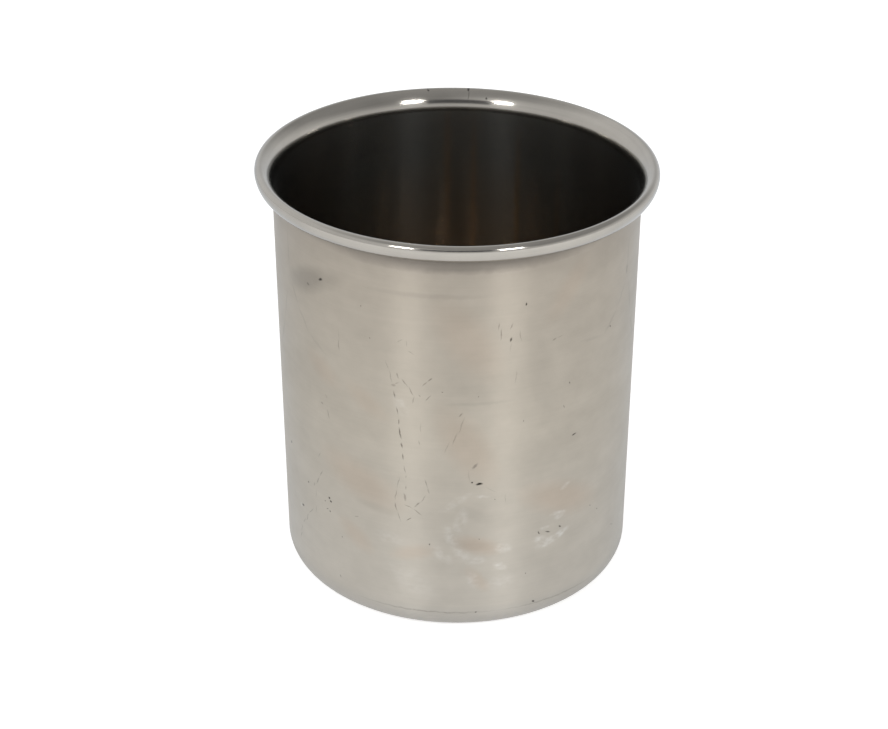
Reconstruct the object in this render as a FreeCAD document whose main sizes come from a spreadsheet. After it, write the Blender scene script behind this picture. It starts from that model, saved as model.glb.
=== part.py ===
"""Deep drawn metal cup: a round blank of stainless steel sheet, drawn deep and rolled outward at the rim.

Millimetres and degrees. +Z is up, the cup's axis is Z, and the underside of the floor lies on Z = 0.
"""

import FreeCAD, Part

import math
import os

import Sketcher

# The sheet has one thickness all over, so each bend is given by its inside radius, as on a tool drawing,
# and its outside radius is one thickness more.
SIZES = {
    "sheet_thickness": 0.8,
    "cup_height": 125.3,  # underside of the floor to the crest of the rim
    "base_radius": 51.1,  # outer face, at the end of the bottom corner
    "wall_top_radius": 52.0,  # outer face, where the wall starts to flare into the rim
    "corner_bend_radius": 5.7,  # nose of the punch, between floor and wall
    "flare_bend_radius": 5.4,  # wall turning outward below the rim's crest
    "crest_bend_radius": 0.7,  # tight bend over the top
    "curl_bend_radius": 3.2,  # outer side of the rim, rolling down and back to the wall
    "edge_gap": 0.3,  # from the roll's free edge to the wall
    "edge_tuck_angle": 7.0,  # how far the free edge has turned back up, past pointing straight at the wall
}

# How Sketcher numbers the points of an edge, and the sketch's origin.
START, END, CENTRE = 1, 2, 3
ORIGIN = (-1, START)


def add_sizes(doc):
    """Put the driving dimensions into a spreadsheet, each cell under its own alias."""
    sheet = doc.addObject("Spreadsheet::Sheet", "sizes")
    sheet.Label = "sizes"
    for row, (name, value) in enumerate(SIZES.items(), start=1):
        sheet.set(f"A{row}", name)
        sheet.set(f"B{row}", str(value))
        sheet.setAlias(f"B{row}", name)
    doc.recompute()


def polar(centre, radius, angle):
    """The point at a radius and angle from a centre."""
    turn = math.radians(angle)
    return (centre[0] + radius * math.cos(turn), centre[1] + radius * math.sin(turn))


def line(start, end):
    """A straight edge between two points of the sketch."""
    return Part.LineSegment(FreeCAD.Vector(*start, 0), FreeCAD.Vector(*end, 0))


def arc(centre, radius, start, end):
    """A round edge, counterclockwise from the start angle to the end angle."""
    circle = Part.Circle(FreeCAD.Vector(*centre, 0), FreeCAD.Vector(0, 0, 1), radius)
    return Part.ArcOfCircle(circle, math.radians(start), math.radians(end))


def draw_section(sketch):
    """Draw the sheet in half section, sketch X being the radius and Y the height. Return each edge's number.

    The inner face runs from the axis over the floor, up the wall and on over the crest and the outer side of
    the rim to the free edge. The outer face runs back through the hollow of the roll, down the wall and under
    the floor. The wall is drawn upright here, and gets its draft from the constraints.
    """
    sheet = SIZES["sheet_thickness"]
    corner = SIZES["corner_bend_radius"]
    flare = SIZES["flare_bend_radius"]
    crest = SIZES["crest_bend_radius"]
    curl = SIZES["curl_bend_radius"]
    edge_angle = -90 - SIZES["edge_tuck_angle"]

    # Bend centres. The crest and the curl meet at the rim's outermost point, so their centres are level, and
    # the flare's centre hangs below the crest's at the distance that lets the two bends touch.
    corner_at = (SIZES["base_radius"] - sheet - corner, sheet + corner)
    rim_z = SIZES["cup_height"] - sheet - crest
    edge_x = SIZES["wall_top_radius"] + SIZES["edge_gap"]
    curl_at = (edge_x - (curl + sheet) * math.cos(math.radians(edge_angle)), rim_z)
    crest_at = (curl_at[0] + curl - crest, rim_z)
    flare_x = SIZES["wall_top_radius"] + flare
    crest_joint = math.degrees(math.acos((crest_at[0] - flare_x) / (flare - crest)))
    flare_at = polar(crest_at, crest - flare, crest_joint)

    edges = {
        "axis": line((0, 0), (0, sheet)),
        "floor_top": line((0, sheet), polar(corner_at, corner, -90)),
        "corner_in": arc(corner_at, corner, -90, 0),
        "wall_in": line(polar(corner_at, corner, 0), polar(flare_at, flare + sheet, 180)),
        "flare_in": arc(flare_at, flare + sheet, crest_joint, 180),
        "crest_over": arc(crest_at, crest + sheet, 0, crest_joint),
        "curl_over": arc(curl_at, curl + sheet, edge_angle, 0),
        "free_edge": line(polar(curl_at, curl + sheet, edge_angle), polar(curl_at, curl, edge_angle)),
        "curl_under": arc(curl_at, curl, edge_angle, 0),
        "crest_under": arc(crest_at, crest, 0, crest_joint),
        "flare_out": arc(flare_at, flare, crest_joint, 180),
        "wall_out": line(polar(flare_at, flare, 180), polar(corner_at, corner + sheet, 0)),
        "corner_out": arc(corner_at, corner + sheet, -90, 0),
        "floor_under": line(polar(corner_at, corner + sheet, -90), (0, 0)),
    }
    return {name: sketch.addGeometry(edge) for name, edge in edges.items()}


def constrain_section(sketch, edges):
    """Join the section's edges smoothly and bind its dimensions to the sizes."""

    def rule(kind, *parts):
        """Add a constraint in which edges go by their names."""
        numbers = [edges[part] if isinstance(part, str) else part for part in parts]
        return sketch.addConstraint(Sketcher.Constraint(kind, *numbers))

    def bind(expression, kind, *parts):
        """Add a dimension that follows an expression of the sizes."""
        number = rule(kind, *parts, sketch.evalExpression(expression))
        sketch.setExpression(f"Constraints[{number}]", expression)

    # One closed loop of sheet, starting on the axis.
    rule("Coincident", "axis", START, *ORIGIN)
    rule("Vertical", "axis")
    rule("Coincident", "axis", END, "floor_top", START)
    rule("Horizontal", "floor_top")
    rule("Tangent", "floor_top", END, "corner_in", START)
    rule("Tangent", "corner_in", END, "wall_in", START)
    rule("Tangent", "wall_in", END, "flare_in", END)
    rule("Tangent", "flare_in", START, "crest_over", END)
    rule("Tangent", "crest_over", START, "curl_over", END)
    rule("Perpendicular", "curl_over", START, "free_edge", START)
    rule("Coincident", "free_edge", END, "curl_under", START)
    rule("Tangent", "curl_under", END, "crest_under", START)
    rule("Tangent", "crest_under", END, "flare_out", START)
    rule("Tangent", "flare_out", END, "wall_out", START)
    rule("Tangent", "wall_out", END, "corner_out", END)
    rule("Tangent", "corner_out", START, "floor_under", START)
    rule("Horizontal", "floor_under")
    rule("Coincident", "floor_under", END, "axis", START)

    # Both faces of a bend turn about one centre, and the crest's and the curl's centres are level.
    rule("Coincident", "corner_in", CENTRE, "corner_out", CENTRE)
    rule("Coincident", "flare_in", CENTRE, "flare_out", CENTRE)
    rule("Coincident", "crest_over", CENTRE, "crest_under", CENTRE)
    rule("Coincident", "curl_over", CENTRE, "curl_under", CENTRE)
    rule("Horizontal", "crest_over", CENTRE, "curl_over", CENTRE)

    # Sizes. The hollow side of the crest and of the curl gets its radius from the rules above.
    corner, flare = "sizes.corner_bend_radius", "sizes.flare_bend_radius"
    bind(corner, "Radius", "corner_in")
    bind(f"{corner} + sizes.sheet_thickness", "Radius", "corner_out")
    bind(flare, "Radius", "flare_out")
    bind(f"{flare} + sizes.sheet_thickness", "Radius", "flare_in")
    bind("sizes.crest_bend_radius + sizes.sheet_thickness", "Radius", "crest_over")
    bind("sizes.curl_bend_radius + sizes.sheet_thickness", "Radius", "curl_over")
    bind(f"sizes.base_radius - sizes.sheet_thickness - {corner}", "DistanceX", *ORIGIN, "corner_out", CENTRE)
    bind("sizes.wall_top_radius", "DistanceX", *ORIGIN, "wall_out", START)
    crest_centre = "sizes.cup_height - sizes.sheet_thickness - sizes.crest_bend_radius"
    bind(crest_centre, "DistanceY", *ORIGIN, "crest_over", CENTRE)
    bind("sizes.wall_top_radius + sizes.edge_gap", "DistanceX", *ORIGIN, "free_edge", START)
    bind("90 deg - sizes.edge_tuck_angle * 1 deg", "Angle", "free_edge")


def make_cup(doc):
    """The cup: the sheet's half section, fully constrained, turned once round the axis."""
    body = doc.addObject("PartDesign::Body", "cup")
    body.Label = "cup"
    section = body.newObject("Sketcher::SketchObject", "sheet_section")
    xz_plane = next(plane for plane in body.Origin.OriginFeatures if plane.Role == "XZ_Plane")
    section.AttachmentSupport = [(xz_plane, "")]
    section.MapMode = "FlatFace"
    constrain_section(section, draw_section(section))
    doc.recompute()

    turned = body.newObject("PartDesign::Revolution", "turned_sheet")
    turned.Profile = section
    turned.ReferenceAxis = (section, ["V_Axis"])
    turned.Angle = 360
    body.Placement = FreeCAD.Placement()
    doc.recompute()
    return body


def check(doc, parts):
    """Stop if anything in the document failed to build, or a part isn't one sound solid."""
    for thing in doc.Objects:
        if {"Invalid", "Error"} & set(thing.State):
            raise RuntimeError(f"{thing.Label} did not build: {thing.State}")
    for part in parts:
        shape = part.Shape
        if shape.isNull() or not shape.isValid() or len(shape.Solids) != 1:
            raise RuntimeError(f"{part.Label} is not one valid solid")


def main():
    doc = FreeCAD.newDocument("deep_drawn_cup")
    add_sizes(doc)
    parts = [make_cup(doc)]
    check(doc, parts)
    os.makedirs("parts", exist_ok=True)
    for part in parts:
        part.Shape.exportStep(f"parts/{part.Label}.step")


main()
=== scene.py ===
"""A deep drawn cup of polished stainless steel, alone on a white table in a soft studio."""

import math

import bpy
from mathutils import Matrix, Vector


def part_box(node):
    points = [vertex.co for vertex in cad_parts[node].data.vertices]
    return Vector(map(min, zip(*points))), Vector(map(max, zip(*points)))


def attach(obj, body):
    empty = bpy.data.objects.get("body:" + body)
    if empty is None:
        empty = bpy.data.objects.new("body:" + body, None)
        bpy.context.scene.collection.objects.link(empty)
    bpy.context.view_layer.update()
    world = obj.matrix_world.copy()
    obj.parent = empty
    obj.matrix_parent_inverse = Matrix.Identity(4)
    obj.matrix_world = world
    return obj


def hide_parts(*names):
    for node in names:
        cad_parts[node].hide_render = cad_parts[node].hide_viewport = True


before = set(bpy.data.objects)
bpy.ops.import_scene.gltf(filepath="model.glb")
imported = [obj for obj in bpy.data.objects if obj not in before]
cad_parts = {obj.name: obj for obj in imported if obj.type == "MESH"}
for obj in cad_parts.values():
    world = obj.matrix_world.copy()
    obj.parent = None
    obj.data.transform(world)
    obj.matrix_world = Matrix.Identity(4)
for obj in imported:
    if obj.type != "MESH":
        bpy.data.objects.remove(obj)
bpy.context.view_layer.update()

MM = 0.001

# ---------------------------------------------------------------- sizes of the sheet

lowest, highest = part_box("cup")
RIM_RADIUS = min(highest.x, highest.y, -lowest.x, -lowest.y)
RIM_TOP = highest.z
SHEET = 0.8 * MM

# Bend radii of the sheet's inner and upper face, which is the face drawn below.
CORNER = 5.7 * MM
FLARE = 6.2 * MM
CREST = 1.5 * MM
CURL = 4.0 * MM
FLOOR_RADIUS = 44.6 * MM
WALL_TOP_RADIUS = 51.2 * MM
CURL_TURN = 97  # degrees that the roll turns from the rim's outermost point

# The drawn wall came out a touch uneven, so the rim leans down to the right, by degrees at its crest.
RIM_LEAN = 0.65
CREST_HEIGHT = RIM_TOP - (RIM_RADIUS - CREST) * math.sin(math.radians(RIM_LEAN))

ROUND_STEPS = 256
WALL_STEPS = 24


# ---------------------------------------------------------------- shaping the cup


def deselect_all():
    """Leave nothing selected, neither objects nor parts of a mesh."""
    if bpy.context.mode != "OBJECT":
        bpy.ops.object.mode_set(mode="OBJECT")
    bpy.ops.object.select_all(action="DESELECT")


def lean_at(height):
    """The lean in radians at a height: none over the floor and its corner, all of it at the crest."""
    wall_start = SHEET + CORNER
    return math.radians(RIM_LEAN) * max(height - wall_start, 0) / (CREST_HEIGHT - wall_start)


class OpenEdge:
    """The open, round edge of the sheet while the cup is drawn, selected in edit mode."""

    def __init__(self, radius, height):
        self.radius = radius
        self.height = height

    def draw_to(self, radius, height):
        """Extrude the edge, then widen it, lift it to its new place and lean it as the cup leans there."""
        bpy.ops.mesh.extrude_edges_move()
        share = radius / self.radius
        bpy.ops.transform.resize(value=(share, share, 1), center_override=(0, 0, 0))
        bpy.ops.transform.translate(value=(0, 0, height - self.height))
        turn = lean_at(height) - lean_at(self.height)
        if turn:
            bpy.ops.transform.rotate(value=-turn, orient_axis="Y", center_override=(0, 0, height))
        self.radius = radius
        self.height = height

    def bend(self, centre, radius, start, end, steps):
        """Draw the edge round a bend, by angles in degrees from the outward direction."""
        for step in range(1, steps + 1):
            angle = math.radians(start + (end - start) * step / steps)
            self.draw_to(centre[0] + radius * math.cos(angle), centre[1] + radius * math.sin(angle))


def draw_cup():
    """Draw the cup's inner face from a round blank; the sheet gets its thickness outward afterwards."""
    deselect_all()
    bpy.ops.mesh.primitive_circle_add(
        vertices=ROUND_STEPS, radius=FLOOR_RADIUS, fill_type="TRIFAN", location=(0, 0, SHEET)
    )
    cup = bpy.context.object
    cup.name = "drawn_cup"
    cup.data.name = "drawn_cup"
    bpy.ops.object.transform_apply(location=True, rotation=True, scale=True)

    bpy.ops.object.mode_set(mode="EDIT")
    bpy.ops.mesh.select_all(action="SELECT")
    bpy.ops.mesh.region_to_loop()
    edge = OpenEdge(FLOOR_RADIUS, SHEET)

    crest_at = (RIM_RADIUS - CREST, CREST_HEIGHT - CREST)
    curl_at = (RIM_RADIUS - CURL, CREST_HEIGHT - CREST)
    flare_x = WALL_TOP_RADIUS + FLARE
    crest_joint = math.degrees(math.acos((crest_at[0] - flare_x) / (FLARE - CREST)))
    flare_at = (flare_x, crest_at[1] - (FLARE - CREST) * math.sin(math.radians(crest_joint)))

    corner_at = (FLOOR_RADIUS, SHEET + CORNER)
    edge.bend(corner_at, CORNER, -90, 0, 18)
    wall_base = (edge.radius, edge.height)
    for step in range(1, WALL_STEPS + 1):
        share = step / WALL_STEPS
        edge.draw_to(
            wall_base[0] + (WALL_TOP_RADIUS - wall_base[0]) * share,
            wall_base[1] + (flare_at[1] - wall_base[1]) * share,
        )
    edge.bend(flare_at, FLARE, 180, crest_joint, 14)
    edge.bend(crest_at, CREST, crest_joint, 0, 18)
    edge.bend(curl_at, CURL, 0, -CURL_TURN, 24)

    bpy.ops.mesh.select_all(action="SELECT")
    bpy.ops.mesh.normals_make_consistent(inside=False)
    bpy.ops.object.mode_set(mode="OBJECT")
    return cup


def thicken(cup):
    """Give the sheet its thickness on the far side of the drawn face."""
    thickness = cup.modifiers.new("sheet_thickness", "SOLIDIFY")
    thickness.thickness = SHEET
    thickness.offset = -1
    thickness.use_even_offset = True
    bpy.ops.object.modifier_apply(modifier=thickness.name)



def linear(hex_colour):
    """An sRGB hex colour as linear red, green, blue and alpha."""
    shown = [int(hex_colour[i : i + 2], 16) / 255 for i in (1, 3, 5)]
    return [c / 12.92 if c <= 0.04045 else ((c + 0.055) / 1.055) ** 2.4 for c in shown] + [1]


def add_node(tree, kind, settings=None, **links):
    """Add a shader node with its settings. A link gives a socket's value, or the socket that feeds it."""
    node = tree.nodes.new(kind)
    for name, value in (settings or {}).items():
        setattr(node, name, value)
    for name, value in links.items():
        socket = node.inputs[int(name[1:])] if name[1:].isdigit() else node.inputs[name.replace("_", " ")]
        if isinstance(value, bpy.types.NodeSocket):
            tree.links.new(value, socket)
        else:
            socket.default_value = value
    return node


def new_material(name):
    """An empty material with its output, returned with its node tree and the output node."""
    material = bpy.data.materials.new(name)
    material.use_nodes = True
    tree = material.node_tree
    tree.nodes.clear()
    return material, tree, tree.nodes.new("ShaderNodeOutputMaterial")


EDGE_TINT = linear("#EAEEF3")
WALL_RADIUS_MM = 51.6

# Wear on the wall, with some painted shade and painted reflection among it: each mark runs from one place to another,
# and a place is degrees round from the front and millimetres above the table. Then width in mm and depth of tone.
SCRATCHES = (
    # the long broken scratch down the left of the front, with its hook
    ((-22.5, 87.5), (-21.0, 84.5), 0.4, 0.3),
    ((-21.0, 84.5), (-20.1, 80.5), 0.4, 0.4),
    ((-20.1, 80.2), (-19.3, 80.0), 0.9, 0.5),
    ((-19.5, 78.5), (-19.1, 76.0), 0.5, 0.75),
    ((-18.7, 73.5), (-18.3, 71.0), 0.45, 0.7),
    ((-18.2, 69.8), (-18.0, 67.9), 0.5, 0.85),
    ((-17.9, 67.0), (-17.5, 63.5), 0.6, 0.9),
    ((-17.4, 62.3), (-17.2, 60.5), 0.5, 0.8),
    ((-17.0, 59.0), (-16.7, 56.8), 0.6, 0.7),
    ((-16.5, 55.0), (-16.3, 52.5), 0.4, 0.6),
    ((-16.2, 51.8), (-16.2, 51.0), 0.35, 0.5),
    ((-16.2, 48.5), (-16.2, 47.3), 0.4, 0.55),
    ((-16.7, 46.0), (-16.3, 43.5), 0.7, 0.6),
    ((-18.5, 83.8), (-18.0, 82.3), 0.6, 0.6),
    ((-17.3, 82.5), (-15.0, 80.3), 0.45, 0.55),
    ((-14.8, 80.5), (-13.5, 77.5), 0.45, 0.6),
    ((-13.3, 77.5), (-13.6, 75.2), 0.4, 0.4),
    ((-19.5, 80.3), (-17.8, 81.2), 0.4, 0.35),
    # the two loops at its foot
    ((-17.8, 51.5), (-19.0, 47.0), 0.35, 0.4),
    ((-19.0, 47.0), (-19.8, 43.0), 0.35, 0.5),
    ((-19.8, 42.5), (-19.0, 39.5), 0.45, 0.6),
    ((-19.0, 39.5), (-18.0, 36.2), 0.35, 0.5),
    ((-16.2, 37.0), (-14.4, 38.0), 0.4, 0.9),
    ((-10.1, 51.5), (-9.3, 48.5), 0.45, 0.5),
    ((-9.3, 48.5), (-8.8, 46.8), 0.4, 0.45),
    ((-9.8, 46.0), (-11.2, 43.8), 0.45, 0.5),
    ((-11.5, 43.8), (-13.5, 41.7), 0.55, 0.6),
    ((-16.7, 42.2), (-13.8, 41.2), 0.45, 0.55),
    ((-13.8, 41.2), (-11.0, 39.3), 0.45, 0.55),
    # short marks right and above
    ((-10.8, 80.8), (-9.0, 82.5), 0.45, 0.5),
    ((-9.0, 82.5), (-7.8, 83.8), 0.5, 0.6),
    ((-9.6, 76.5), (-8.0, 78.5), 0.45, 0.5),
    ((-11.8, 78.0), (-11.4, 77.6), 0.5, 0.6),
    ((-11.3, 69.0), (-11.2, 66.0), 0.35, 0.3),
    ((-11.9, 63.5), (-11.7, 62.5), 0.45, 0.5),
    ((-18.5, 93.3), (-16.5, 94.8), 0.35, 0.35),
    ((-15.5, 94.5), (-15.3, 92.5), 0.35, 0.3),
    ((-15.0, 91.5), (-13.2, 90.4), 0.4, 0.4),
    # left side
    ((-38.6, 93.0), (-38.5, 89.0), 0.35, 0.25),
    ((-38.5, 90.0), (-38.7, 86.0), 0.45, 0.45),
    ((-47.1, 66.9), (-46.7, 66.7), 0.7, 0.55),
    ((-45.2, 70.5), (-44.5, 69.0), 0.4, 0.3),
    ((-44.6, 65.5), (-43.9, 62.8), 0.5, 0.5),
    ((-48.6, 49.8), (-49.8, 48.0), 0.4, 0.4),
    ((-48.0, 44.2), (-49.5, 41.5), 0.45, 0.5),
    ((-49.8, 41.5), (-51.5, 38.0), 0.5, 0.5),
    ((-52.5, 38.0), (-53.0, 36.8), 0.6, 0.5),
    ((-51.8, 36.0), (-52.2, 33.0), 0.35, 0.3),
    ((-52.2, 30.3), (-52.6, 28.0), 0.5, 0.4),
    ((-54.0, 28.5), (-57.0, 25.5), 0.45, 0.45),
    ((-57.5, 25.0), (-59.0, 22.0), 0.6, 0.5),
    ((-59.5, 22.5), (-61.5, 20.0), 0.45, 0.5),
    ((-62.0, 19.0), (-63.5, 16.0), 0.4, 0.4),
    ((-63.0, 16.0), (-64.2, 13.5), 0.5, 0.45),
    ((-34.3, 33.7), (-33.0, 34.2), 0.35, 0.5),
    # right side
    ((12.2, 100.0), (12.0, 97.8), 0.4, 0.45),
    ((12.9, 98.5), (12.7, 94.5), 0.4, 0.6),
    ((16.3, 99.7), (15.4, 97.5), 0.45, 0.5),
    ((15.8, 94.0), (15.8, 91.0), 0.35, 0.25),
    ((18.3, 97.5), (19.2, 93.5), 0.35, 0.35),
    ((18.0, 85.0), (17.3, 80.8), 0.4, 0.35),
    ((2.3, 72.0), (0.0, 66.0), 0.5, 0.3),
    ((0.0, 67.0), (-1.5, 62.5), 0.5, 0.35),
    ((-2.5, 64.0), (-4.0, 60.0), 0.45, 0.3),
    ((0.5, 72.0), (1.5, 73.0), 0.6, 0.5),
    ((3.3, 55.0), (4.0, 50.0), 0.3, 0.25),
    ((8.5, 49.0), (12.5, 46.5), 0.3, 0.25),
    ((15.0, 46.0), (15.0, 43.0), 0.35, 0.25),
    ((29.6, 91.8), (31.0, 92.3), 0.5, 0.5),
    ((31.0, 92.3), (33.5, 92.6), 0.35, 0.3),
    ((34.2, 70.3), (34.8, 69.5), 0.5, 0.5),
    ((64.3, 103.5), (64.5, 100.8), 0.8, 0.55),
    ((61.0, 19.5), (64.5, 18.0), 0.4, 0.4),
    # grime along the top of the bottom corner
    ((-38.0, 6.7), (16.0, 6.6), 0.6, 0.4),
    ((10.0, 6.6), (55.0, 6.4), 0.6, 0.3),
)
DIRT_SPOTS = (
    ((6.1, 50.0), (7.4, 50.0), 1.0, 1.0),
    ((4.4, 50.7), (4.6, 50.7), 0.6, 1.0),
    ((25.3, 7.4), (25.7, 7.2), 0.8, 1.0),
    ((5.8, 6.6), (6.1, 6.6), 0.5, 0.8),
    ((26.5, 31.0), (27.0, 30.0), 0.6, 0.7),
    ((29.2, 30.1), (31.0, 29.7), 0.55, 0.7),
    ((34.3, 30.5), (34.9, 30.0), 0.6, 0.8),
    ((20.4, 105.0), (20.4, 104.4), 0.55, 0.9),
    ((16.2, 95.1), (15.6, 94.2), 0.8, 0.8),
    ((38.6, 59.4), (39.6, 59.7), 0.7, 0.8),
    ((36.4, 77.0), (36.7, 76.6), 0.5, 0.6),
    ((6.7, 31.8), (6.8, 31.7), 0.4, 0.8),
    ((-8.7, 30.0), (-8.7, 29.7), 0.5, 0.7),
    ((22.5, 17.8), (22.5, 17.5), 0.5, 0.5),
    ((11.7, 44.6), (11.7, 44.4), 0.35, 0.6),
    ((20.4, 68.9), (20.4, 68.5), 0.4, 0.5),
    ((54.4, 88.4), (54.8, 88.1), 0.7, 0.55),
    ((52.0, 29.6), (52.2, 29.4), 0.55, 0.45),
    ((48.0, 32.4), (48.3, 32.2), 0.55, 0.45),
    ((-45.2, 36.2), (-45.0, 35.9), 0.7, 0.9),
    ((-44.6, 35.1), (-44.3, 35.0), 0.7, 1.0),
    ((-44.9, 31.7), (-44.9, 31.3), 0.6, 0.7),
    ((-46.5, 31.9), (-45.8, 32.1), 0.45, 0.55),
    ((-47.4, 34.2), (-47.2, 34.2), 0.55, 0.45),
    ((-56.6, 36.5), (-56.2, 36.6), 0.8, 0.55),
    ((-61.5, 26.3), (-60.4, 26.6), 1.0, 0.7),
    ((-69.5, 43.8), (-68.8, 44.2), 1.1, 0.5),
    ((-40.0, 25.0), (-39.9, 24.9), 0.5, 0.55),
    ((-41.2, 11.0), (-40.9, 10.6), 0.5, 0.5),
    ((-45.8, 105.7), (-45.0, 106.0), 1.1, 0.85),
    ((-51.8, 102.6), (-51.2, 102.3), 0.9, 0.4),
    ((-27.2, 93.0), (-27.1, 92.9), 0.45, 0.5),
    ((-29.9, 102.3), (-29.8, 102.3), 0.45, 0.5),
    ((-4.6, 79.6), (-4.4, 79.6), 0.4, 0.5),
    ((6.3, 78.0), (6.3, 77.9), 0.4, 0.5),
)
SMEARS_AND_PAINTED_SHADE = (
    ((4.7, 55.2), (6.2, 56.7), 1.0, 0.45),
    ((-61.0, 100.5), (-43.0, 107.0), 9.5, 0.26),
    ((-54.0, 103.0), (-38.0, 108.5), 8.0, 0.15),
    # painted shade: a dark band just under the rim roll
    ((-42.0, 117.2), (46.0, 117.2), 5.0, 0.42),
    ((-30.0, 108.3), (13.0, 108.3), 2.0, 0.1),
    ((-10.0, 108.3), (9.0, 108.3), 1.1, 0.08),
    ((-5.0, 75.5), (18.0, 75.8), 1.6, 0.09),
    ((-34.0, 40.0), (-20.0, 39.0), 3.5, 0.08),
    ((1.0, 42.0), (10.0, 38.0), 5.0, 0.06),
    ((-1.0, 30.0), (11.0, 29.0), 4.5, 0.08),
    ((22.0, 98.0), (30.0, 66.0), 9.0, 0.05),
    # painted reflection: thin darker curved lines on each side, standing for a shadow edge seen in the wall
    ((-63.3, 116.0), (-63.2, 102.0), 0.9, 0.13),
    ((-62.8, 101.0), (-58.0, 93.5), 0.9, 0.16),
    ((-58.0, 93.5), (-52.0, 87.0), 1.0, 0.12),
    ((-52.0, 87.0), (-44.0, 83.0), 1.2, 0.08),
    ((-65.5, 96.0), (-69.5, 84.0), 1.0, 0.12),
    ((-69.5, 84.0), (-75.5, 74.0), 1.2, 0.14),
    ((65.0, 113.0), (64.6, 100.0), 0.9, 0.12),
    ((64.0, 99.0), (58.0, 92.0), 1.0, 0.1),
    ((58.0, 92.0), (51.0, 86.8), 1.3, 0.12),
    ((51.0, 86.8), (40.0, 88.6), 1.3, 0.08),
    ((66.0, 99.0), (70.5, 85.0), 0.9, 0.12),
    ((70.5, 85.0), (75.0, 77.0), 1.2, 0.14),
)
LIGHT_SCUFFS = (
    ((-5.0, 41.0), (4.0, 47.0), 2.7, 0.19),
    ((6.0, 46.0), (10.0, 45.8), 1.4, 0.27),
    ((0.0, 34.0), (2.0, 41.0), 4.4, 0.21),
    ((-3.5, 35.5), (-1.0, 30.0), 4.1, 0.24),
    ((0.0, 28.0), (3.5, 25.0), 4.1, 0.27),
    ((-7.0, 28.5), (-3.0, 25.0), 4.4, 0.19),
    ((3.5, 24.3), (8.0, 24.6), 3.1, 0.26),
    ((13.2, 28.2), (16.0, 27.6), 3.7, 0.34),
    ((12.6, 22.4), (14.8, 21.3), 3.1, 0.31),
    ((27.0, 26.0), (32.0, 27.0), 3.7, 0.47),
    ((32.0, 27.0), (37.5, 28.6), 2.9, 0.47),
    ((25.4, 28.5), (29.0, 28.0), 2.7, 0.32),
    ((31.0, 35.4), (36.5, 34.8), 1.9, 0.36),
    ((33.0, 33.8), (35.5, 34.4), 2.4, 0.34),
    ((27.5, 31.7), (30.0, 31.5), 1.5, 0.38),
    ((35.0, 43.0), (38.0, 44.0), 2.0, 0.21),
    ((4.4, 19.5), (5.2, 16.5), 4.1, 0.21),
    ((11.5, 16.0), (16.5, 17.0), 5.8, 0.13),
    ((-18.6, 76.0), (-16.0, 71.0), 4.4, 0.13),
    ((-62.4, 26.0), (-62.2, 26.0), 1.5, 0.51),
    ((-26.0, 30.5), (-18.0, 30.0), 5.1, 0.12),
    ((-20.0, 20.0), (-10.0, 14.0), 10.2, 0.09),
)
STRAW_PATCHES = (
    ((-42.0, 50.0), (-22.0, 43.0), 15.0, 0.22),
    ((-2.0, 70.0), (8.0, 54.0), 15.0, 0.2),
    ((24.0, 44.0), (46.0, 36.0), 13.0, 0.26),
    ((-2.0, 102.0), (8.0, 88.0), 16.0, 0.16),
    ((1.0, 31.0), (12.0, 28.0), 7.0, 0.3),
    ((-38.0, 30.0), (-30.0, 25.0), 8.0, 0.2),
    ((-20.0, 25.0), (-8.0, 28.0), 6.0, 0.2),
    ((4.0, 21.0), (9.0, 15.0), 5.0, 0.22),
    ((-34.0, 76.0), (-24.0, 70.0), 8.0, 0.14),
    ((30.0, 100.0), (40.0, 112.0), 9.0, 0.14),
    ((-50.0, 80.0), (-42.0, 76.0), 9.0, 0.14),
)

# Inside and on the rim the two sides are marked apart: heights on the far side are this much more.
FAR_SIDE = 300.0
HEAT_STREAKS = (
    ((-28.0, 366.0), (34.0, 366.0), 80.0, 0.5),
    ((-3.0, 330.0), (-3.0, 424.0), 4.0, 0.6),
    ((6.0, 330.0), (6.0, 418.0), 3.6, 0.7),
    ((21.5, 330.0), (21.5, 416.0), 3.4, 0.8),
    ((37.0, 330.0), (37.0, 408.0), 3.4, 0.65),
    ((-35.0, 330.0), (-35.0, 400.0), 3.4, 0.5),
)
INSIDE_SCRATCHES = (
    ((46.0, 386.0), (52.0, 384.0), 0.5, 0.5),
    ((30.0, 396.0), (34.0, 395.0), 0.5, 0.4),
    ((-56.0, 412.5), (-46.0, 415.5), 1.0, 0.6),
)
RIM_MARKS = (
    ((3.8, 421.0), (4.2, 425.0), 0.3, 0.4),
    ((-9.0, 424.4), (-9.0, 424.6), 0.6, 0.8),
    ((4.0, 424.4), (4.0, 424.6), 0.7, 0.8),
    ((10.0, 422.4), (10.0, 422.6), 0.6, 0.8),
    ((-14.0, 120.8), (-13.9, 120.8), 0.5, 0.5),
)


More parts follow.
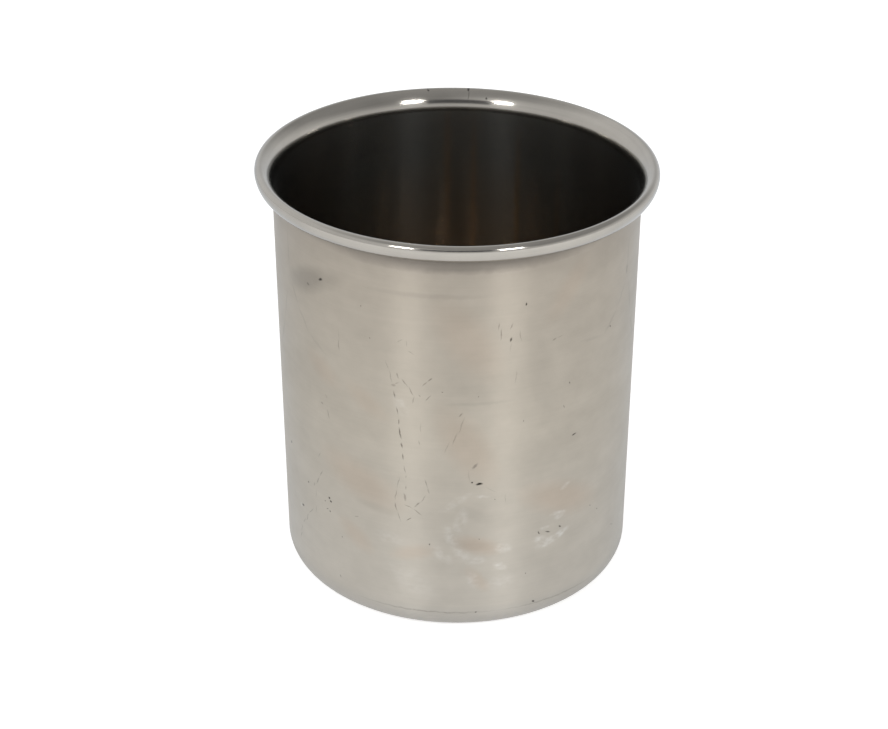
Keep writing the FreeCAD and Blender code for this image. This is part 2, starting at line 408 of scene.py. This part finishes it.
def wear_map(tree, place, far_side_up=-1000.0, far_side_start=112.0):
    """Millimetres round the cup and up its wall. By default the far side takes the front's wear upside down."""
    axes = add_node(tree, "ShaderNodeSeparateXYZ", _0=place)
    away = add_node(tree, "ShaderNodeMath", {"operation": "ABSOLUTE"}, _0=axes.outputs["Y"])
    turn = add_node(tree, "ShaderNodeMath", {"operation": "ARCTAN2"}, _0=axes.outputs["X"], _1=away.outputs[0])
    across = add_node(tree, "ShaderNodeMath", {"operation": "MULTIPLY"}, _0=turn.outputs[0], _1=WALL_RADIUS_MM)
    behind = add_node(tree, "ShaderNodeMath", {"operation": "GREATER_THAN"}, _0=axes.outputs["Y"], _1=0.0)
    upright = add_node(tree, "ShaderNodeMath", {"operation": "MULTIPLY"}, _0=axes.outputs["Z"], _1=1000.0)
    flipped = add_node(
        tree, "ShaderNodeMath", {"operation": "MULTIPLY_ADD"}, _0=axes.outputs["Z"], _1=far_side_up, _2=far_side_start
    )
    height = add_node(
        tree, "ShaderNodeMix", {"data_type": "FLOAT"}, Factor=behind.outputs[0], _2=upright.outputs[0], _3=flipped.outputs[0]
    )
    flat = add_node(tree, "ShaderNodeCombineXYZ", X=across.outputs[0], Y=height.outputs[0])
    shake = add_node(tree, "ShaderNodeTexNoise", Vector=place, Scale=450.0, Detail=2.0)
    return add_node(
        tree,
        "ShaderNodeVectorMath",
        {"operation": "MULTIPLY_ADD"},
        _0=shake.outputs["Color"],
        _1=(0.9, 0.9, 0.0),
        _2=flat.outputs[0],
    ).outputs[0]


def draw_marks(tree, wear, marks):
    """How strongly a place is marked, from 0 to 1: each mark is a stroke that fades at its edge."""
    total = 0.0
    for start, end, width, depth in marks:
        (x0, y0), (x1, y1) = ((math.radians(turn) * WALL_RADIUS_MM, height) for turn, height in (start, end))
        stroke = add_node(
            tree,
            "ShaderNodeMapping",
            {"vector_type": "TEXTURE"},
            Vector=wear,
            Location=((x0 + x1) / 2 + 0.45, (y0 + y1) / 2 + 0.45, 0),
            Rotation=(0, 0, math.atan2(y1 - y0, x1 - x0)),
            Scale=((math.hypot(x1 - x0, y1 - y0) + width) / 2, width / 2, 1),
        )
        spread = add_node(tree, "ShaderNodeTexGradient", {"gradient_type": "SPHERICAL"}, Vector=stroke.outputs[0])
        tone = add_node(
            tree, "ShaderNodeMapRange", Value=spread.outputs["Fac"], From_Max=0.65, To_Max=depth
        )
        total = add_node(
            tree, "ShaderNodeMath", {"operation": "MAXIMUM"}, _0=tone.outputs[0], _1=total
        ).outputs[0]
    return total


def noise(tree, place, spacing, low, high, detail=3.0):
    """A value between low and high that wanders over the surface, at a spacing in mm round it and up it."""
    across, up = spacing
    stretched = add_node(
        tree, "ShaderNodeMapping", Vector=place, Scale=(1000 / across, 1000 / across, 1000 / up)
    )
    cloud = add_node(tree, "ShaderNodeTexNoise", Vector=stretched.outputs[0], Scale=1.0, Detail=detail)
    return add_node(
        tree, "ShaderNodeMapRange", Value=cloud.outputs[0], From_Min=0.3, From_Max=0.7, To_Min=low, To_Max=high
    ).outputs[0]


def product(tree, first, second):
    """Two values multiplied."""
    return add_node(tree, "ShaderNodeMath", {"operation": "MULTIPLY"}, _0=first, _1=second).outputs[0]


def blend(tree, share, colour, other):
    """From one colour toward another, by a share."""
    return add_node(tree, "ShaderNodeMix", {"data_type": "RGBA"}, Factor=share, _6=colour, _7=other).outputs[2]


def height_tones(tree, place, stops):
    """A colour by height in mm, blended between stops."""
    axes = add_node(tree, "ShaderNodeSeparateXYZ", _0=place)
    ramp = add_node(tree, "ShaderNodeValToRGB", _0=product(tree, axes.outputs["Z"], 1000 / 130))
    while len(ramp.color_ramp.elements) < len(stops):
        ramp.color_ramp.elements.new(0.5)
    for element, (height, colour) in zip(ramp.color_ramp.elements, stops):
        element.position = height / 130
        element.color = linear(colour)
    return ramp.outputs[0]


def steel(name, roughness, anisotropy):
    """Stainless steel whose polishing lines run round the axis, so light smears up and down the wall."""
    material, tree, output = new_material(name)
    place = add_node(tree, "ShaderNodeTexCoord").outputs["Object"]
    round_the_axis = add_node(tree, "ShaderNodeTangent", {"direction_type": "RADIAL", "axis": "Z"})
    metal = add_node(
        tree,
        "ShaderNodeBsdfPrincipled",
        Metallic=1.0,
        Roughness=roughness,
        Anisotropic=anisotropy,
        Anisotropic_Rotation=0.25,
        Specular_Tint=EDGE_TINT,
        Tangent=round_the_axis.outputs[0],
    )
    tree.links.new(metal.outputs["BSDF"], output.inputs["Surface"])
    return material, tree, place, metal


def satin_worn_steel():
    """The outside: mill-polished, gone satin with use, straw-tinted, with scratches, dirt specks and scuffs, and
    painted shade toward the top and under the rim, and painted reflection in faint curved lines.
    """
    material, tree, place, metal = steel("satin_worn_steel_outside", 0.4, 0.9)
    # Painted shade by height: the steel's colour darkens toward the top of the wall, and sharply in the last few
    # millimetres under the rim roll. It is also darker over the bottom corner.
    colour = height_tones(
        tree,
        place,
        ((0, "#ABA8A3"), (6, "#B5B1AA"), (9, "#BBB6AD"), (65, "#B9B2A6"), (108, "#B2AA9E"), (117, "#ABA398"), (120, "#7A746C")),
    )
    # Tone: broad cloudy patches from handling, small mottling, and the faint lines the polishing wheel left.
    clouds = noise(tree, place, (22, 16), 0.97, 1.03)
    mottle = noise(tree, place, (4, 3), 0.98, 1.02)
    lines = noise(tree, place, (40, 0.7), 0.988, 1.012, 2.0)
    tone = product(tree, product(tree, clouds, mottle), lines)
    colour = add_node(
        tree, "ShaderNodeVectorMath", {"operation": "SCALE"}, _0=colour, Scale=tone
    ).outputs[0]
    wear = wear_map(tree, place)
    broken = noise(tree, place, (0.9, 0.9), 0.6, 1.1, 2.0)
    ragged = noise(tree, place, (2.2, 1.3), -0.1, 1.3)
    colour = blend(tree, draw_marks(tree, wear, STRAW_PATCHES), colour, linear("#BBA28C"))
    # Grey smears, plus painted shade under the rim and painted reflection in faint curved lines.
    colour = blend(tree, draw_marks(tree, wear, SMEARS_AND_PAINTED_SHADE), colour, linear("#4C4A48"))
    colour = blend(tree, product(tree, draw_marks(tree, wear, LIGHT_SCUFFS), ragged), colour, linear("#E2E1DE"))
    colour = blend(tree, product(tree, draw_marks(tree, wear, SCRATCHES), broken), colour, linear("#6C665E"))
    colour = blend(tree, draw_marks(tree, wear, DIRT_SPOTS), colour, linear("#1D1A17"))
    tree.links.new(colour, metal.inputs["Base Color"])
    tree.links.new(noise(tree, place, (12, 6), 0.37, 0.43), metal.inputs["Roughness"])
    return material


def polished_steel_inside():
    """The inside keeps its polish: dark and neutral, with lines round it and straw-brown heat streaks."""
    material, tree, place, metal = steel("polished_steel_inside", 0.18, 0.9)
    lines = noise(tree, place, (40, 0.7), 0.92, 1.08, 2.0)
    colour = add_node(tree, "ShaderNodeVectorMath", {"operation": "SCALE"}, _0=linear("#AFAEAA")[:3], Scale=lines)
    wear = wear_map(tree, place, 1000.0, FAR_SIDE)
    colour = blend(tree, draw_marks(tree, wear, HEAT_STREAKS), colour.outputs[0], linear("#C9A276"))
    colour = blend(tree, draw_marks(tree, wear, INSIDE_SCRATCHES), colour, linear("#D8D6D2"))
    tree.links.new(colour, metal.inputs["Base Color"])
    return material


def polished_steel_rim():
    """The rim is bright from the rolling tool, with faint lines round it, a hairline and a few specks."""
    material, tree, place, metal = steel("polished_steel_rim", 0.14, 0.85)
    lines = noise(tree, place, (30, 0.5), 0.97, 1.03, 2.0)
    clouds = noise(tree, place, (9, 9), 0.96, 1.04)
    tone = product(tree, lines, clouds)
    colour = add_node(tree, "ShaderNodeVectorMath", {"operation": "SCALE"}, _0=linear("#B0ACA5")[:3], Scale=tone)
    wear = wear_map(tree, place, 1000.0, FAR_SIDE)
    colour = blend(tree, draw_marks(tree, wear, RIM_MARKS), colour.outputs[0], linear("#3A3733"))
    tree.links.new(colour, metal.inputs["Base Color"])
    return material


def finish_faces(cup):
    """Give the outside, the inside and the rim, which starts where the wall flares, their own finishes."""
    outside, inside, rim = range(3)
    cup.data.materials.append(satin_worn_steel())
    cup.data.materials.append(polished_steel_inside())
    cup.data.materials.append(polished_steel_rim())
    for face in cup.data.polygons:
        outward = face.normal.x * face.center.x + face.normal.y * face.center.y
        reach = math.hypot(face.center.x, face.center.y) - (SHEET if outward > 0 else 0)
        if reach > WALL_TOP_RADIUS:
            face.material_index = rim
        elif outward > 0 and face.normal.z < 0.01 or face.normal.z < -0.01:
            face.material_index = outside
        else:
            face.material_index = inside


cup = draw_cup()
thicken(cup)
bpy.ops.object.shade_smooth_by_angle(angle=math.radians(30))
finish_faces(cup)
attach(cup, "root")
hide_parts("cup")


# ---------------------------------------------------------------- table, studio and camera


def table():
    deselect_all()
    bpy.ops.mesh.primitive_circle_add(vertices=96, radius=4.0, fill_type="NGON", location=(0, 0, 0))
    floor = bpy.context.object
    floor.name = "white_table"
    material, tree, output = new_material("white_paper")
    path = add_node(tree, "ShaderNodeLightPath")
    seen = add_node(tree, "ShaderNodeMath", {"operation": "MAXIMUM"}, _0=path.outputs["Is Camera Ray"], _1=path.outputs["Is Glossy Ray"])
    seen = add_node(tree, "ShaderNodeMath", {"operation": "MAXIMUM"}, _0=seen.outputs[0], _1=path.outputs["Is Transmission Ray"])
    paper = add_node(tree, "ShaderNodeBsdfDiffuse", Color=linear("#E4E4E4"))
    place = add_node(tree, "ShaderNodeTexCoord")
    axes = add_node(tree, "ShaderNodeSeparateXYZ", _0=place.outputs["Object"])
    # Painted light on the table: its glow is brighter toward the front, a painted pool of light, and dimmer to the
    # left, painted shade.
    front = add_node(
        tree, "ShaderNodeMapRange", Value=axes.outputs["Y"], From_Min=0.02, From_Max=-0.08, To_Min=0.43, To_Max=0.5
    )
    side = add_node(
        tree, "ShaderNodeMapRange", Value=axes.outputs["X"], From_Min=-0.12, From_Max=0.02, To_Min=-0.06, To_Max=0.0
    )
    glow_with_painted_pool = add_node(tree, "ShaderNodeMath", {"operation": "ADD"}, _0=front.outputs[0], _1=side.outputs[0])
    level = add_node(tree, "ShaderNodeMath", {"operation": "MAXIMUM"}, _0=product(tree, path.outputs["Is Camera Ray"], 0.62), _1=glow_with_painted_pool.outputs[0])
    glow = add_node(tree, "ShaderNodeEmission", Color=linear("#FFFFFF"), Strength=level.outputs[0])
    lit = add_node(tree, "ShaderNodeAddShader", _0=paper.outputs[0], _1=glow.outputs[0])
    mix = add_node(tree, "ShaderNodeMixShader", _0=seen.outputs[0], _1=paper.outputs[0], _2=lit.outputs[0])
    tree.links.new(mix.outputs[0], output.inputs["Surface"])
    floor.data.materials.append(material)


def lamp(name, azimuth, elevation, distance, size, watts):
    """A softbox that faces the cup. Azimuth in degrees from behind the camera, positive to the right."""
    turn, rise = math.radians(azimuth), math.radians(elevation)
    place = (
        distance * math.sin(turn) * math.cos(rise),
        -distance * math.cos(turn) * math.cos(rise),
        distance * math.sin(rise),
    )
    deselect_all()
    bpy.ops.object.light_add(type="AREA", location=place, rotation=(math.radians(90) - rise, 0, turn))
    light = bpy.context.object
    light.name = name
    light.data.shape = "RECTANGLE"
    light.data.size = size[0]
    light.data.size_y = size[1]
    light.data.energy = watts


table()
lamp("softbox_left", -31, 40, 1.6, (0.29, 0.22), 5.0)
lamp("softbox_right", 32, 40, 1.6, (0.29, 0.22), 5.4)



def studio_room():
    """The room round the table: a white wall on the left, a greyer one on the right, a grey ceiling."""
    world = bpy.data.worlds.new("studio_room")
    bpy.context.scene.world = world
    world.use_nodes = True
    tree = world.node_tree
    tree.nodes.clear()
    direction = add_node(tree, "ShaderNodeTexCoord")
    axes = add_node(tree, "ShaderNodeSeparateXYZ", _0=direction.outputs["Generated"])
    left = add_node(tree, "ShaderNodeValToRGB", _0=axes.outputs["Z"])
    right = add_node(tree, "ShaderNodeValToRGB", _0=axes.outputs["Z"])
    for ramp, stops in (
        (left, ((0.0, 0.92), (0.7, 0.9), (0.93, 0.5))),
        (right, ((0.0, 1.0), (0.25, 0.85), (0.6, 0.42), (0.85, 0.42), (1.0, 0.5))),
    ):
        while len(ramp.color_ramp.elements) < len(stops):
            ramp.color_ramp.elements.new(0.5)
        for element, (place, level) in zip(ramp.color_ramp.elements, stops):
            element.position = place
            element.color = (level, level, level, 1)
    across = add_node(
        tree,
        "ShaderNodeMapRange",
        {"interpolation_type": "SMOOTHSTEP"},
        Value=axes.outputs["X"],
        From_Min=-0.35,
        From_Max=0.35,
    )
    colour = add_node(
        tree, "ShaderNodeMix", {"data_type": "RGBA"}, Factor=across.outputs[0], _6=left.outputs[0], _7=right.outputs[0]
    )
    front = add_node(tree, "ShaderNodeMapRange", Value=axes.outputs["Y"], From_Min=-0.3, From_Max=0.3, To_Min=0.88)
    path = add_node(tree, "ShaderNodeLightPath")
    room = add_node(tree, "ShaderNodeBackground", Color=colour.outputs[2], Strength=front.outputs[0])
    white = add_node(tree, "ShaderNodeBackground", Color=linear("#FFFFFF"), Strength=1.0)
    seen = add_node(
        tree, "ShaderNodeMixShader", _0=path.outputs["Is Camera Ray"], _1=room.outputs[0], _2=white.outputs[0]
    )
    output = tree.nodes.new("ShaderNodeOutputWorld")
    tree.links.new(seen.outputs[0], output.inputs["Surface"])


def camera_stand():
    """The dark camera and its stand, which only show as a dark mark in the polished rim."""
    deselect_all()
    bpy.ops.mesh.primitive_plane_add(size=1, location=(-0.02, -0.78, 0.6), rotation=(math.radians(48), 0, 0))
    stand = bpy.context.object
    stand.name = "camera_stand"
    stand.scale = (0.66, 0.36, 1)
    bpy.ops.object.transform_apply(location=True, rotation=True, scale=True)
    material, tree, output = new_material("black_anodised_camera")
    black = add_node(tree, "ShaderNodeBsdfPrincipled", Base_Color=linear("#5C5C60"), Roughness=0.6)
    tree.links.new(black.outputs["BSDF"], output.inputs["Surface"])
    stand.data.materials.append(material)
    stand.visible_camera = False
    stand.visible_shadow = False


studio_room()
camera_stand()

elevation = math.radians(28.94)
deselect_all()
bpy.ops.object.camera_add(
    location=(-0.0037, -0.624 * math.cos(elevation), 0.0595 + 0.624 * math.sin(elevation)),
    rotation=(math.radians(90) - elevation, 0, 0),
)
camera = bpy.context.object
camera.data.lens = 85.77
camera.data.sensor_width = 36
camera.data.clip_start = 0.01
scene = bpy.context.scene
scene.camera = camera
scene.view_settings.view_transform = "Standard"
scene.cycles.max_bounces = 16
scene.cycles.glossy_bounces = 12
